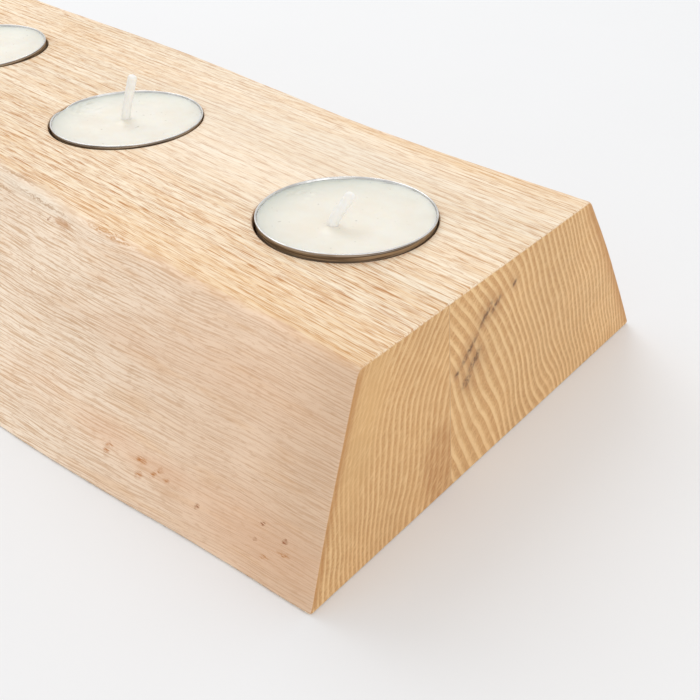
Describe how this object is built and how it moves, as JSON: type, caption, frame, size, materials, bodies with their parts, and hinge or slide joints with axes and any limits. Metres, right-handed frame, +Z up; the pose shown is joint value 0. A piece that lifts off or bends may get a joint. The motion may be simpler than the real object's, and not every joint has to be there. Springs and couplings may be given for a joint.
{
  "type": "advent candle holder",
  "caption": "Low live-edge block of light hardwood, two boards glued edge to edge, with a row of tealights sunk in drilled sockets that lift straight out.",
  "frame": {"origin": "on the underside, below the middle of the row of tealights", "axes": "+X along the row to the skewed cut end, -Y to the front live edge, +Z up"},
  "size_m": [0.3177, 0.1334, 0.0522],
  "materials": {
    "front_ash": "sanded and lightly oiled",
    "rear_ash": "sanded and lightly oiled",
    "seam_glue": "cured wood glue",
    "cup_aluminium": "bright drawn foil",
    "candle_wax": "poured paraffin wax",
    "wick_cotton": "waxed braided cotton",
    "sustainer_tin": "tin plate"
  },
  "bodies": {
    "holder": {"front_board": "front_ash", "rear_board": "rear_ash", "glue_line": "seam_glue"},
    "tealight_1": {"candle_cup_1": "cup_aluminium", "wax_fill_1": "candle_wax", "wick_1": "wick_cotton", "wick_sustainer_1": "sustainer_tin"},
    "tealight_2": {"candle_cup_2": "cup_aluminium", "wax_fill_2": "candle_wax", "wick_2": "wick_cotton", "wick_sustainer_2": "sustainer_tin"},
    "tealight_3": {"candle_cup_3": "cup_aluminium", "wax_fill_3": "candle_wax", "wick_3": "wick_cotton", "wick_sustainer_3": "sustainer_tin"},
    "tealight_4": {"candle_cup_4": "cup_aluminium", "wax_fill_4": "candle_wax", "wick_4": "wick_cotton", "wick_sustainer_4": "sustainer_tin"}
  },
  "joints": [
    {"name": "tealight_lift_1", "type": "slide", "parent": "holder", "child": "tealight_1", "axis": [0, 0, 1], "range_m": [0, 0.03]},
    {"name": "tealight_lift_2", "type": "slide", "parent": "holder", "child": "tealight_2", "axis": [0, 0, 1], "range_m": [0, 0.03]},
    {"name": "tealight_lift_3", "type": "slide", "parent": "holder", "child": "tealight_3", "axis": [0, 0, 1], "range_m": [0, 0.03]},
    {"name": "tealight_lift_4", "type": "slide", "parent": "holder", "child": "tealight_4", "axis": [0, 0, 1], "range_m": [0, 0.03]}
  ]
}
